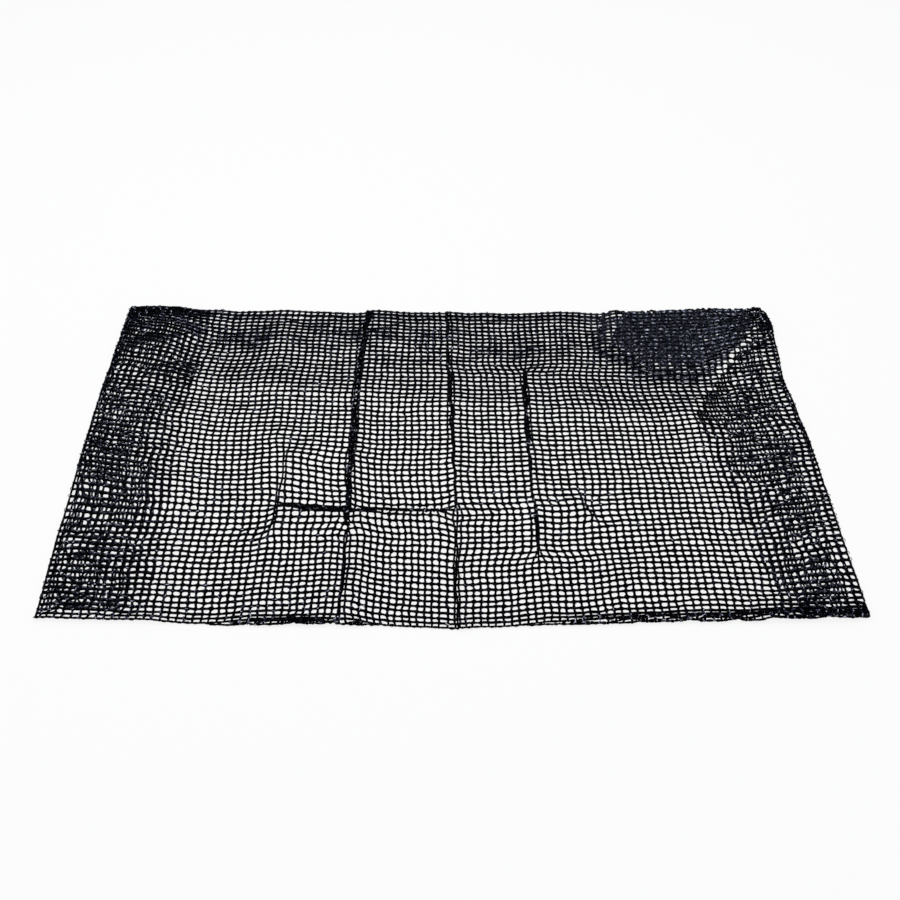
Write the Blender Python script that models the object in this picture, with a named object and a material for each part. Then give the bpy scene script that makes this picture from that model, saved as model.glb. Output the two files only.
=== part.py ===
"""Bird netting: one cut length of black knitted net, laid out with its margins turned under.

The net is a single piece, so the part is a single solid: a thin sheet that stands for the mesh,
folded the way the net lies. A flat cut is turned under along four straight fold lines, one after
another. First its back right corner is turned in on a slant, then the back margin and the two
side margins are turned under. Where a margin lies below, the sheet above rides over it and eases
down to the floor beyond its edge. Old packing creases then stand up as soft ridges, and the
outline bows a little, as slack net does.

Metres, +Z up. The origin is on the floor under the middle of the net, +X runs along the width
and +Y towards the back.
"""

import math

import bmesh
import bpy
from mathutils import Vector

# The sheet and how its layers lie on each other.
THICKNESS = 0.0018
LAYER_STEP = 0.0030  # from the middle of one layer to the middle of the next
ARC = math.pi * LAYER_STEP / 2  # cloth used up in one turned edge
BEND_PARTS = 4  # flats round a turned edge
EASE = 0.040  # plan length over which the top comes down beyond a hidden edge
EASE_PARTS = 3
CLEARANCE = 0.004  # how far the top stays up past a hidden edge

# The cut, before it is folded: its four corners, anticlockwise from the front left.
CUT = ((-0.610, -0.325), (0.588, -0.325), (0.620, 0.500), (-0.597, 0.480))

# Fold lines, in the order of folding: a point on the line and the way out of the net there.
FOLD_LINES = (
    # name, point x, point y, outward direction in degrees
    ("back right corner", 0.487, 0.324, 30.0),
    ("back margin", 0.000, 0.313, 90.0),
    ("left margin", -0.517, 0.000, 180.0),
    ("right margin", 0.507, 0.000, 0.0),
)

# Packing creases, slack wrinkles and the bunched front edge: straight soft ridges.
RIDGES = (
    # from x, from y, to x, to y, height, half width
    (-0.1440, -0.3100, -0.1390, -0.1900, 0.0030, 0.012),
    (-0.1395, -0.2200, -0.1245, 0.3600, 0.0070, 0.012),
    (0.0060, -0.3600, -0.0055, 0.3600, 0.0070, 0.012),
    (0.1090, -0.2300, 0.1100, 0.1900, 0.0065, 0.012),
    (-0.2510, -0.1900, -0.2370, 0.0000, 0.0045, 0.011),
    (0.1800, -0.0850, 0.2030, -0.1700, 0.0045, 0.011),
    (-0.2600, -0.1290, 0.0100, -0.1280, 0.0060, 0.012),
    (-0.4100, -0.0700, -0.3000, -0.1550, 0.0030, 0.016),
    (-0.4700, 0.0950, -0.3500, 0.0350, 0.0030, 0.018),
    (0.3500, 0.0900, 0.4550, -0.0300, 0.0030, 0.018),
    (0.1400, -0.3020, 0.4700, -0.2980, 0.0030, 0.014),
    (-0.3000, -0.3000, -0.1650, -0.3060, 0.0030, 0.014),
)
RIDGE_END = 0.035  # length over which a ridge dies out

# Bow of the outline: how far the edges stand out of straight, eased from row to row.
SIDE_BOW = (
    # y, left edge moves by, right edge moves by
    (-0.330, 0.006, 0.005),
    (-0.130, 0.000, 0.002),
    (0.000, -0.003, -0.003),
    (0.120, -0.005, -0.005),
    (0.330, 0.001, -0.003),
)
END_BOW = (
    # x, front edge moves by, back edge moves by
    (-0.530, 0.013, 0.002),
    (-0.410, 0.004, 0.002),
    (-0.250, 0.001, -0.005),
    (-0.120, -0.005, 0.002),
    (0.000, -0.008, 0.006),
    (0.120, -0.004, -0.003),
    (0.300, 0.003, -0.010),
    (0.520, 0.010, 0.002),
)
SIDE_BOW_AT = 0.500  # distance from the middle where the whole bow applies
END_BOW_AT = 0.300

GRID_WIDTH = 0.060  # largest flat between fold and ridge lines
SAME_SPOT = 1e-6  # points this near a cut are on it
COLOUR = (0.010, 0.010, 0.013, 1.0)
ROUGHNESS = 0.62


def ease(share):
    """A smooth step from 0 to 1."""
    share = min(max(share, 0.0), 1.0)
    return share * share * (3.0 - 2.0 * share)


def stepped_ease(share):
    """The smooth step as EASE_PARTS straight runs, which stacked layers share exactly."""
    whole = min(max(math.floor(share * EASE_PARTS), 0), EASE_PARTS - 1)
    low = ease(whole / EASE_PARTS)
    high = ease((whole + 1) / EASE_PARTS)
    return low + (high - low) * min(max(share * EASE_PARTS - whole, 0.0), 1.0)


def read_off(rows, column, at):
    """The table's column where its first column has this value, eased from row to row."""
    for low, high in zip(rows, rows[1:]):
        if at <= high[0]:
            share = ease((at - low[0]) / (high[0] - low[0]))
            return low[column] + share * (high[column] - low[column])
    return rows[-1][column]


def sides_of(corners):
    """Each side of a convex outline: its two ends and its outward direction."""
    centre = sum(corners, Vector((0.0, 0.0))) / len(corners)
    sides = []
    for start, end in zip(corners, corners[1:] + corners[:1]):
        along = (end - start).normalized()
        away = Vector((along.y, -along.x))
        if away.dot(start - centre) < 0.0:
            away = -away
        sides.append((start, end, away))
    return sides


class FoldLine:
    """A straight fold line in plan, with the sheet beyond it turned under."""

    def __init__(self, x, y, degrees):
        angle = math.radians(degrees)
        self.point = Vector((x, y))
        self.out = Vector((math.cos(angle), math.sin(angle)))

    def beyond(self, spot):
        """How far a spot lies beyond the line, negative inside."""
        return (spot - self.point).dot(self.out)

    def mirrored(self, spot):
        """Where cloth beyond the line comes to lie, or, for a spot inside it, which cloth comes
        to lie there. The turned edge uses up ARC of the cloth."""
        return spot - self.out * (2.0 * self.beyond(spot) - ARC)

    def clip(self, corners, inside):
        """The part of a convex outline on one side of the line."""
        side = -1.0 if inside else 1.0
        kept = []
        for here, after in zip(corners, corners[1:] + corners[:1]):
            a = side * self.beyond(here)
            b = side * self.beyond(after)
            if a >= 0.0:
                kept.append(here)
            if a * b < 0.0:
                kept.append(here.lerp(after, a / (a - b)))
        return kept


class Layers:
    """The stack of folded layers. Each fold is kept with the sides of the flap that it lays
    under the rest, and slopes holds the lines along which the layers above a flap bend."""

    def __init__(self, corners):
        self.outline = [Vector(corner) for corner in corners]
        self.folds = []
        self.slopes = []

    def thickness(self, spot, count):
        """From the middle of the lowest layer to that of the highest, after count folds."""
        return sum(self.lift(spot, number) for number in range(count))

    def lift(self, spot, number):
        """How far one fold lifts the stack that it found: over its flap and the slope round it."""
        line, flap_sides = self.folds[number]
        outside = max((spot - start).dot(away) for start, _, away in flap_sides)
        cover = stepped_ease(1.0 - (outside - CLEARANCE) / EASE)
        if cover == 0.0:
            return 0.0
        return cover * (self.thickness(line.mirrored(spot), number) + LAYER_STEP)

    def turn_under(self, net, line):
        """Cuts the fold's lines into the net, lays the flap under it, and moves every point."""
        flap = [line.mirrored(corner) for corner in line.clip(self.outline, inside=False)]
        flap_sides = sides_of(flap)
        for part in range(BEND_PARTS + 1):
            score(net, line.point + line.out * (ARC * part / BEND_PARTS), line.out)
        self.slopes += [(line.mirrored(start), line.mirrored(end)) for start, end in self.slopes]
        self.slopes += slope_lines(flap_sides, line)
        for start, end in self.slopes:
            score_near(net, start, end)
        number = len(self.folds)
        self.folds.append((line, flap_sides))
        self.outline = line.clip(self.outline, inside=True)
        for vert in net.verts:
            vert.co = self.folded(vert.co, line, number)

    def folded(self, point, line, number):
        """A point of the stack, moved by one fold: inside the line it is lifted over the flap,
        round the line it follows half a circle, and beyond it the stack lies upside down."""
        spot = point.xy
        beyond = line.beyond(spot)
        if beyond <= 0.0:
            return Vector((spot.x, spot.y, point.z + self.lift(spot, number)))
        if beyond >= ARC:
            place = line.mirrored(spot)
            return Vector((place.x, place.y, self.thickness(spot, number) - point.z))
        turn = math.pi * beyond / ARC
        radius = LAYER_STEP / 2 + point.z
        foot = spot - line.out * beyond
        middle = self.thickness(foot + line.out * ARC, number) + LAYER_STEP / 2
        place = foot + line.out * (radius * math.sin(turn))
        return Vector((place.x, place.y, middle + radius * math.cos(turn)))


def slope_lines(flap_sides, line):
    """Lines along which the sheet above a flap bends as it comes down beyond the flap's sides."""
    found = []
    for start, end, away in flap_sides:
        if min(line.beyond(start), line.beyond(end)) < -ARC:
            along = (end - start).normalized()
            for part in range(EASE_PARTS + 1):
                reach = CLEARANCE + EASE * part / EASE_PARTS
                found.append((start + (away - along) * reach, end + (away + along) * reach))
    return found


def score(net, spot, away):
    """Cuts a straight line right across the net, through all its layers."""
    bmesh.ops.bisect_plane(
        net,
        geom=net.verts[:] + net.edges[:] + net.faces[:],
        dist=SAME_SPOT,
        plane_co=(spot.x, spot.y, 0.0),
        plane_no=(away.x, away.y, 0.0),
    )


def score_near(net, start, end):
    """Cuts a straight line from start to end into the faces that it meets, in every layer."""
    faces = [face for face in net.faces if gap_to(face, start, end) < 0.0]
    edges = {edge for face in faces for edge in face.edges}
    verts = {vert for face in faces for vert in face.verts}
    bmesh.ops.bisect_plane(
        net,
        geom=sorted(verts, key=index_of) + sorted(edges, key=index_of) + faces,
        dist=SAME_SPOT,
        plane_co=(start.x, start.y, 0.0),
        plane_no=(end.y - start.y, start.x - end.x, 0.0),
    )
    net.verts.index_update()
    net.edges.index_update()


def index_of(element):
    return element.index


def gap_to(face, start, end):
    """About how far the circle round a face is from the run from start to end, in plan."""
    centre = face.calc_center_bounds().xy
    radius = max((vert.co.xy - centre).length for vert in face.verts)
    along = end - start
    share = min(max((centre - start).dot(along) / along.length_squared, 0.0), 1.0)
    return (centre - start - along * share).length - radius


def flat_net(corners):
    """The flat cut as a slab, its middle at height 0, scored into squares of about GRID_WIDTH."""
    net = bmesh.new()
    lower = net.faces.new([net.verts.new((x, y, -THICKNESS / 2)) for x, y in reversed(corners)])
    extruded = bmesh.ops.extrude_face_region(net, geom=[lower], use_keep_orig=True)["geom"]
    upper = [element for element in extruded if isinstance(element, bmesh.types.BMVert)]
    bmesh.ops.translate(net, verts=upper, vec=(0.0, 0.0, THICKNESS))
    bmesh.ops.recalc_face_normals(net, faces=net.faces[:])
    for axis, away in enumerate((Vector((1.0, 0.0)), Vector((0.0, 1.0)))):
        low = min(corner[axis] for corner in corners)
        high = max(corner[axis] for corner in corners)
        count = math.ceil((high - low) / GRID_WIDTH)
        for number in range(1, count):
            score(net, away * (low + (high - low) * number / count), away)
    return net


def score_ridges(net):
    """Cuts each ridge's crest, flanks and feet into every layer, and lines across its ends."""
    for from_x, from_y, to_x, to_y, _, half_width in RIDGES:
        start = Vector((from_x, from_y))
        end = Vector((to_x, to_y))
        along = (end - start).normalized()
        away = Vector((along.y, -along.x)) * half_width
        for share in (-1.0, -0.5, 0.0, 0.5, 1.0):
            score_near(net, start + away * share, end + away * share)
        for inset in (RIDGE_END / 2, RIDGE_END):
            for foot in (start + along * inset, end - along * inset):
                score_near(net, foot - away, foot + away)


def ridge_height(spot):
    """Height of the creases above the stack at a spot, the highest where two cross."""
    highest = 0.0
    for from_x, from_y, to_x, to_y, height, half_width in RIDGES:
        start = Vector((from_x, from_y))
        along = Vector((to_x, to_y)) - start
        length = along.length
        along.normalize()
        distance = (spot - start).dot(along)
        across = abs((spot - start).dot(Vector((along.y, -along.x))))
        ends = ease(distance / RIDGE_END) * ease((length - distance) / RIDGE_END)
        highest = max(highest, height * ends * ease(1.0 - across / half_width))
    return highest


def bowed(spot):
    """A spot's place once the straight outline has bowed. Every layer moves alike."""
    side = ease(abs(spot.x) / SIDE_BOW_AT)
    end = ease(abs(spot.y) / END_BOW_AT)
    side_column = 1 if spot.x < 0.0 else 2
    end_column = 1 if spot.y < 0.0 else 2
    return (
        spot.x + side * read_off(SIDE_BOW, side_column, spot.y),
        spot.y + end * read_off(END_BOW, end_column, spot.x),
    )


def drape(net):
    """Raises the ridges, bows the outline and centres the net with its underside on the floor."""
    for vert in net.verts:
        spot = vert.co.xy
        height = vert.co.z + ridge_height(spot) + THICKNESS / 2
        vert.co = (*bowed(spot), max(height, 0.0))
    for axis in (0, 1):
        places = [vert.co[axis] for vert in net.verts]
        middle = (min(places) + max(places)) / 2
        for vert in net.verts:
            vert.co[axis] -= middle


def net_material():
    material = bpy.data.materials.new("black_net")
    material.use_nodes = True
    shader = material.node_tree.nodes["Principled BSDF"]
    shader.inputs["Base Color"].default_value = COLOUR
    shader.inputs["Roughness"].default_value = ROUGHNESS
    shader.inputs["Metallic"].default_value = 0.0
    return material


def main():
    for obj in list(bpy.data.objects):
        bpy.data.objects.remove(obj)
    net = flat_net(CUT)
    layers = Layers(CUT)
    for _, x, y, degrees in FOLD_LINES:
        layers.turn_under(net, FoldLine(x, y, degrees))
    score_ridges(net)
    bmesh.ops.triangulate(net, faces=net.faces[:], quad_method="SHORT_EDGE")
    drape(net)
    mesh = bpy.data.meshes.new("net")
    net.to_mesh(mesh)
    net.free()
    mesh.shade_smooth()
    mesh.materials.append(net_material())
    bpy.context.scene.collection.objects.link(bpy.data.objects.new("net", mesh))


main()
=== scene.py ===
"""Bird netting, dressed: every cord of the black knitted net, laid out on its folds.

The net is one lattice of cords. Rows run across it and columns from front to back, and each
crossing is a knitted joint with small fillets. The lattice is drawn out on the flat cut, pulled
about as slack net is, and then folded over the fold lines of the frame's solid, its back right
corner twice. Packing creases lie on it as pinched pleats. Metres, +Z up, in the frame's place.
"""

import math

import bpy
import numpy as np
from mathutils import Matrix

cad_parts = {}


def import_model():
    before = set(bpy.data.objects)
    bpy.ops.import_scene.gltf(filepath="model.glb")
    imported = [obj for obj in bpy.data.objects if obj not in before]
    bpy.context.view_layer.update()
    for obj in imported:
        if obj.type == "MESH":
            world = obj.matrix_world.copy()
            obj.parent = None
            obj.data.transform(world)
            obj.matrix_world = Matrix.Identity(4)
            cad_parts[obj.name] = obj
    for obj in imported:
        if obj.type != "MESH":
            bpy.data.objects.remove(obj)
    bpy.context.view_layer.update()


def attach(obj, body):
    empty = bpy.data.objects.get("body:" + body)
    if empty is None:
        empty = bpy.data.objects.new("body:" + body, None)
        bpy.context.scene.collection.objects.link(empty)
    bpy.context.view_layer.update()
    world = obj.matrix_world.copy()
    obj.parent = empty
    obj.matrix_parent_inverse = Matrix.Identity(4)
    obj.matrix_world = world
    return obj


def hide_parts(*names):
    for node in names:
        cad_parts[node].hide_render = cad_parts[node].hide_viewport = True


# ---------------------------------------------------------------- sizes, in metres

CORD_ACROSS = 0.00162  # radius of the cords that run across the net
CORD_DOWN = 0.00146  # radius of the cords that run from front to back
JOINT_HALF = 0.00255  # from the middle of a joint to the inside corner of a mesh
JOINT_SHARE = 0.250  # and never more than this share of the mesh, where cords lie close
JOINT_TOP = 0.62  # the joint's flat top, as a share of JOINT_HALF
JOINT_RISE = 0.00160  # half the thickness of a joint
RING_AT = 0.345  # where a cord has reached its own thickness, as a share of the mesh
PITCH = 0.0100  # one mesh of the net, and of the knit pattern that runs along a cord
CORD_GAP = 0.0002  # between the lowest cords and the floor
FLOOR_GAP = 0.0001  # and nothing is lower than this

# What chance does: the spread of a size as a share of it, or a distance.
UNEVEN_JOINT = 0.09
UNEVEN_RISE = 0.06
RISE_LIMITS = (0.86, 1.12)
UNEVEN_CORD = 0.08  # from one cord to the next
UNEVEN_ALONG = 0.06  # and along a cord
CORD_LIMITS = (0.80, 1.34)
CORD_BEND = 0.00022  # a cord's middle is this far off the straight line
CORD_WANDER = 0.00012  # and each of its rings this much more
TOP_SHIFT = 0.00042  # of the joints on top, and as much more as this share near the sides:
TOP_SHIFT_SIDES = 0.6
BACK_SHIFT = 0.00035  # of the joints turned under at the back
SIDE_SHIFT = (0.0016, 0.0009)  # and in the side flaps, along x and y

# The sheet's folds. The last three lines are the frame's, and the first two turn the back
# right corner in twice.
LAYER_STEP = 0.0026  # between the middles of two layers
ARC = math.pi * LAYER_STEP / 2  # length of net that a fold's half circle takes up
CLEARANCE = 0.004  # the net above a flap stays flat this far past its edge
EASE = 0.040  # and comes down over this distance
# The flat cut's corners:
CUT = ((-0.655, -0.325), (0.612, -0.325), (0.735, 0.620), (-0.410, 0.482), (-0.655, 0.345))
FOLD_LINES = (
    # point x, point y, outward direction in degrees
    (0.620, 0.525, 45.0),
    (0.5050, 0.3205, 31.0),
    (0.000, 0.313, 90.0),
    (-0.517, 0.000, 180.0),
    (0.507, 0.000, 0.0),
)
BACK, LEFT, RIGHT = 2, 3, 4  # of the fold lines
SHEEN_SHOWS = (1.0, 1.0, 0.8, 0.2, 0.2)  # painted sheen beyond each fold, where the net is turned under, 1 in full
TUCKED_SHEEN = 0.035  # and painted sheen on the net above the corner's wad
TUCKED_FADE = 0.01  # which fades in over this distance inwards from the wad's outline
CUT_INSIDE = 0.0005  # the outermost joints are this far inside the cut
WEDGE = (
    # outline in plan of the wad of corner net that lies tucked under the top
    (0.212, 0.345), (0.204, 0.285), (0.236, 0.230), (0.290, 0.180), (0.318, 0.165),
    (0.352, 0.164), (0.388, 0.174), (0.459, 0.235), (0.482, 0.270), (0.484, 0.345),
)
CENTRE = (0.006385, 0.0058015)  # what the frame moved by when it was centred

SIDE_BOW = (
    # y, left edge moves by, right edge moves by
    (-0.330, 0.007, 0.001),
    (-0.160, 0.002, -0.001),
    (0.000, -0.002, -0.003),
    (0.060, -0.003, -0.007),
    (0.140, -0.003, -0.012),
    (0.220, 0.002, -0.007),
    (0.330, 0.004, -0.005),
)
FRONT_BOW = (
    # x, front edge moves by
    (-0.530, 0.002), (-0.410, -0.001), (-0.240, -0.0095), (-0.155, -0.0085),
    (-0.100, -0.0105), (0.000, -0.0140), (0.040, -0.0110), (0.120, -0.008),
    (0.300, -0.003), (0.520, 0.002),
)
BACK_BOW = (
    # x, back edge moves by
    (-0.530, 0.001), (-0.450, 0.001), (-0.400, -0.0095), (-0.310, -0.005),
    (-0.270, -0.002), (-0.220, -0.006), (-0.157, -0.010), (-0.110, -0.004),
    (-0.060, -0.009), (0.050, -0.010), (0.090, -0.012), (0.180, -0.007),
    (0.250, -0.013), (0.290, -0.019), (0.375, -0.014), (0.440, -0.006),
    (0.520, -0.004),
)
ROUNDED = (0.507, 0.313, 0.032, -0.009, -0.008)  # corner x, y, reach, moved by x, moved by y
SIDE_BOW_AT = 0.500  # distance from the middle at which the sides' bow is full
END_BOW_AT = 0.300  # and that of the front and back

# The lattice: how many meshes there are on top, and beyond each fold. The first few rows
# are the hem, which lies bunched where the front edge has rolled.
MIDDLE = 109
HEM = 3
DEPTH = 66 + HEM
LEFT_MARGIN = 15
RIGHT_MARGIN = 23
BACK_MARGIN = 31
COLUMNS = LEFT_MARGIN + MIDDLE + RIGHT_MARGIN + 1
ROWS = DEPTH + BACK_MARGIN + 1
PANELS = 6

ROLLED = (
    # x, depth of the rolled hem: none at the left and middle
    (-0.530, 0.0), (-0.330, 0.0), (-0.240, 0.0085), (-0.140, 0.0085), (-0.075, 0.0),
    (0.070, 0.0), (0.130, 0.0045), (0.220, 0.0085), (0.330, 0.0110), (0.520, 0.0110),
)
HEM_FROM = (0.0012, 0.0045, 0.0072)  # how deep the hem is where each of its rows begins
HEM_WAVE = (0.0087, 2.1, 0.45, 0.30)  # length, step from row to row, amount, chance

# How close together the rows above the hem are: closer by this share, over this many rows.
ROWS_AT_HEM = (0.22, 1.6)
ROWS_SLOWLY = (0.16, 8.0)
SLOWLY_RIGHT, SLOWLY_LEFT = 0.20, 0.08  # so much more near the sides
SLOWLY_FROM = (0.32, 0.10)  # distance from the middle, and over what distance
ROWS_AT_CORNER = (0.55, 1.8)  # at the back fold, near its left corner
CORNER_FROM = (0.36, 0.06)  # distance from the middle, and over what distance

# How much closer together the columns are in the back half and in front: those at the left
# fold, and the outermost one on the right.
CROWDED_FROM = (0.34, 0.14)  # the back half: from this share of the depth, over what share
COLUMNS_BACK = (0.84, 0.75)
COLUMNS_FRONT = (0.36, 0.0)
FOLD_CROWDS = 2.0  # over so many columns
OUTERMOST = 0.9
GIVEN_BACK = (0.11, 5.5, 4.0)  # to those beside it: share, how many columns in, over how many
PLEAT_CROWDS = 0.013  # the columns within this of a long pleat's crest keep their width

SMILES = (
    # side, amount, from y, over, power: how the rows curve back at the left and right
    (-1.0, 0.028, -0.20, 0.12, 4),
    (1.0, 0.022, -0.31, 0.10, 5),
)
SMILE_AT = 0.5  # distance from the middle at which a row has moved by the amount
SMILE_HELD = 1.3  # times that distance, and no further
SMILE_ENDS = 9.0  # rows before the back fold
HELD = 2.0  # meshes from a fold over which the net is held straight

PLEATS = (
    # from x, from y, to x, to y, bow, height, half width, drawn in each side, and over what
    # distance the net beside it gives
    (-0.1405, -0.1900, -0.1345, 0.3700, -0.0060, 0.0028, 0.0112, 0.0180, 0.070),
    (0.0050, -0.1500, -0.0055, 0.3700, -0.0030, 0.0022, 0.0095, 0.0126, 0.070),
    (0.1120, -0.2300, 0.1130, 0.1850, -0.0015, 0.0024, 0.0100, 0.0132, 0.070),
    (-0.1450, -0.3350, -0.1420, -0.1600, 0.0030, 0.0018, 0.0100, 0.0084, 0.070),
    (0.0085, -0.3700, 0.0030, -0.1300, -0.0010, 0.0016, 0.0095, 0.0078, 0.070),
    (-0.2470, -0.1950, -0.2380, 0.0050, 0.0020, 0.0018, 0.0085, 0.0060, 0.050),
    (0.1800, -0.0850, 0.2030, -0.1700, 0.0050, 0.0018, 0.0085, 0.0060, 0.050),
    (-0.2650, -0.1230, -0.1300, -0.1335, 0.0000, 0.0026, 0.0090, 0.0108, 0.090),
    (-0.1480, -0.1320, 0.0060, -0.1310, 0.0000, 0.0028, 0.0112, 0.0128, 0.090),
)
LONG_PLEATS = ((0, 1.0), (1, 1.0), (2, 0.5))  # of the pleats: these take up whole columns
PLEAT_END = 0.035  # length over which a pleat dies out
PLEAT_FALL = 0.030  # distance over which the net comes down again beside a pleat
DRAW_STEP = 0.80  # a pleat has drawn in the net in full at this share of its half width
PLEAT_WANDER = ((0.0007, 0.0110), (0.0006, 0.0067))  # of its crest: amount, wave's length

SWELLS = (
    # x, y, reach x, reach y, rise: soft humps in the slack net
    (-0.355, -0.110, 0.070, 0.030, 0.0022),
    (-0.410, 0.065, 0.080, 0.030, 0.0022),
    (0.400, 0.030, 0.060, 0.070, 0.0024),
    (0.310, -0.318, 0.190, 0.007, 0.0036),
    (-0.180, -0.318, 0.080, 0.007, 0.0034),
    (0.225, -0.250, 0.050, 0.030, 0.0010),
)

RUMPLED_FROM = (0.32, 0.12)  # distance from the middle, and over what distance
RUMPLE = 0.00035  # height of the small rumples there
RUMPLES = (
    # length along x, length along y, phase
    (0.0095, 0.0210, 0.0),
    (-0.0170, 0.0078, 1.3),
    (0.0123, 0.0123, 2.1),
)

TUGS = (
    # x, y, reach x, reach y, moved by x, moved by y
    (-0.235, -0.045, 0.045, 0.060, 0.000, 0.007),
    (-0.168, -0.070, 0.032, 0.060, 0.000, -0.007),
    (-0.140, -0.275, 0.045, 0.045, 0.000, 0.006),
    (0.225, -0.255, 0.035, 0.040, 0.000, 0.003),
    (0.130, -0.060, 0.060, 0.080, 0.000, 0.003),
    (0.250, 0.160, 0.120, 0.100, -0.006, 0.002),
    (0.390, 0.120, 0.040, 0.080, 0.000, -0.005),
    (-0.265, 0.300, 0.045, 0.022, 0.000, -0.0060),
    (-0.360, 0.200, 0.060, 0.080, 0.003, -0.005),
    (-0.050, 0.230, 0.080, 0.060, 0.002, 0.004),
)

WAVES = (
    # wavelength, direction in degrees, phase, moved by x, moved by y, and how much more so
    # in the rumpled net near the sides
    (0.190, 20.0, 0.3, 0.0006, 0.0008, 0.2),
    (0.127, 75.0, 1.9, 0.0006, 0.0005, 0.4),
    (0.083, 140.0, 4.1, 0.0003, 0.0003, 0.8),
    (0.061, 50.0, 2.2, 0.0002, 0.0002, 1.2),
    (0.047, 95.0, 0.7, 0.0002, 0.0002, 1.0),
    (0.033, 120.0, 5.3, 0.0002, 0.0002, 1.0),
)

# How loosely the turned-under net follows the net above it: distance from the fold in
# meshes, and the share of its full drift there.
BACK_LOOSE = ((0, 0.0), (3, 0.20), (6, 1.0), (9, 0.72), (12, 0.35), (16, 0.12), (31, 0.10))
LEFT_LOOSE = ((0, 0.0), (1, 0.60), (2, 1.0), (6, 0.9), (9, 0.70), (13, 0.15), (15, 0.05))
RIGHT_LOOSE = (
    (0, 0.0), (1, 0.10), (2, 0.10), (3, 0.90), (6, 1.0), (9, 0.80), (14, 0.25), (23, 0.05)
)
LEFT_CALM = (0.65, 0.10, 0.06)  # the left flap is calmer at the back: share, from y, over
LEFT_EDGE = (0.8, -0.12, 0.05, 0.16, 0.06)  # its first column: share, from y, over, to y, over
RIGHT_NARROW = (0.5, 0.08, 0.06)  # the right flap is narrower in front: share, from -y, over
DRIFTS = (
    # wavelength, direction in degrees, phase, moved by x, moved by y, and how much more so
    # near the sides
    (0.170, 35.0, 1.0, 0.0014, 0.0013, 0.0),
    (0.105, 100.0, 2.4, 0.0012, 0.0016, 0.0),
    (0.068, 160.0, 0.2, 0.0012, 0.0010, 0.0),
    (0.044, 60.0, 5.0, 0.0007, 0.0009, 0.4),
    (0.029, 20.0, 1.7, 0.0003, 0.0003, 2.0),
    (0.021, 110.0, 0.9, 0.0002, 0.0002, 3.0),
)
SIDE_DRIFT = (0.0034, 0.0019, 0.0014)  # side flaps: columns out of line by, rows left, right
SIDE_ROWS = 0.40  # share of the drift that moves their rows, which keep to the rows above
SIDE_APART = 0.31  # they drift as the back flap does this far to their right
SETTLED = 0.0028  # turned-under net lies this much further back
SETTLED_OVER = 3.0  # meshes from a fold
LOWER_FROM = ((0.170, 0.025), (0.240, 0.030))  # y where one more layer covers the left flap
LEFT_SHORT = 2  # rows above the hem where the left flap starts
CORNER_ROWS = 5  # of the left flap, turned under along the back fold

TEASED = (
    # x, y, reach x, reach y, share of the joints with a slack loop
    (-0.270, -0.160, 0.095, 0.065, 0.9),
    (-0.250, 0.120, 0.090, 0.070, 0.7),
    (-0.260, -0.285, 0.110, 0.035, 0.9),
    (0.150, -0.110, 0.060, 0.060, 0.7),
    (0.110, 0.000, 0.020, 0.120, 0.6),
    (-0.140, 0.050, 0.022, 0.250, 0.7),
    (0.280, 0.150, 0.110, 0.050, 0.6),
    (0.000, 0.240, 0.280, 0.050, 0.5),
    (0.000, -0.130, 0.160, 0.014, 0.6),
    (0.270, -0.315, 0.190, 0.014, 0.9),
)
TEASED_EVEN = 0.6  # and that share is broken up about this, by waves:
TEASED_WAVES = ((0.5, 0.013, 0.019), (0.5, -0.023, 0.011))  # amount, length along x and y
TEASED_THICKER = 0.18  # teased cords are so much thicker
LEFT_THICKER = (0.3, 0.36, 0.05)  # share of that near the left edge, from -x, over

LOOPED = (0.02, 0.50, 0.60)  # share of joints with a loop: anywhere, at the sides, on folds
LOOP_SPREAD = 0.5  # of the loops' directions on a fold, radians
LOOP_LEAN = (-0.2, 0.2, 0.7)  # at least this on a fold, elsewhere, and up to so much more
LOOP_HALF = (0.0012, 0.0026)  # half length: at least, and up to so much more
LOOP_BULGE = (0.0012, 0.0020)
LOOP_RISE = 0.0008  # above the middle of its joint
LOOP_STEPS = 4  # rings along a loop
LOOP_RADIUS = 0.00048

# Yarn colours: the top side from black to greyer, with lighter specks that are painted glints,
# and a pale blue-grey painted sheen for net that is turned under.
BLACK = (0.0001, 0.0001, 0.0003)
GREYER = (0.0010, 0.0011, 0.0020)
# the painted glint: a lighter colour at noise specks on the top side, a painted highlight
GLINT_COLOUR = (0.0080, 0.0084, 0.0140)
# the painted sheen on net turned under: a pale blue-grey from darker to paler, in place of
# black
SHEEN_DARK = (0.0550, 0.0640, 0.1100)
SHEEN_PALE = (0.6600, 0.7000, 0.8300)
GLINT_FROM, GLINT_SHARP = 0.53, 6.0  # the noise from which a painted glint shows, and how sharply
SHEEN_GLINTS_MORE = 0.22  # and the painted sheen shows so much more of the painted glints
STITCH = 0.0016  # length of a chain stitch along a cord
BUMP_DEPTH = 0.0002

SEED = 20


# ---------------------------------------------------------------- small sums

def ease(share):
    """A smooth step: 3 s squared less 2 s cubed, with s held between 0 and 1."""
    share = np.clip(share, 0.0, 1.0)
    return share * share * (3.0 - 2.0 * share)


def ramp(at, start, over):
    """Eases from 0 at the start to 1 that distance further on."""
    return ease((at - start) / over)


def read_off(rows, column, at):
    """A table's column where its first column has these values, eased from row to row."""
    table = np.array(rows)
    place = np.clip(np.searchsorted(table[:, 0], at), 1, len(table) - 1)
    low, high = table[place - 1], table[place]
    share = ease((at - low[..., 0]) / (high[..., 0] - low[..., 0]))
    return low[..., column] + share * (high[..., column] - low[..., column])


def unit(vectors):
    """Each vector divided by its length."""
    return vectors / np.maximum(np.linalg.norm(vectors, axis=-1, keepdims=True), 1e-12)


def nearness(x, y, at_x, at_y, reach_x, reach_y):
    """A soft patch: exp(-((x - at x) / reach x)^2 - ((y - at y) / reach y)^2)."""
    return np.exp(-(((x - at_x) / reach_x) ** 2 + ((y - at_y) / reach_y) ** 2))


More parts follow.
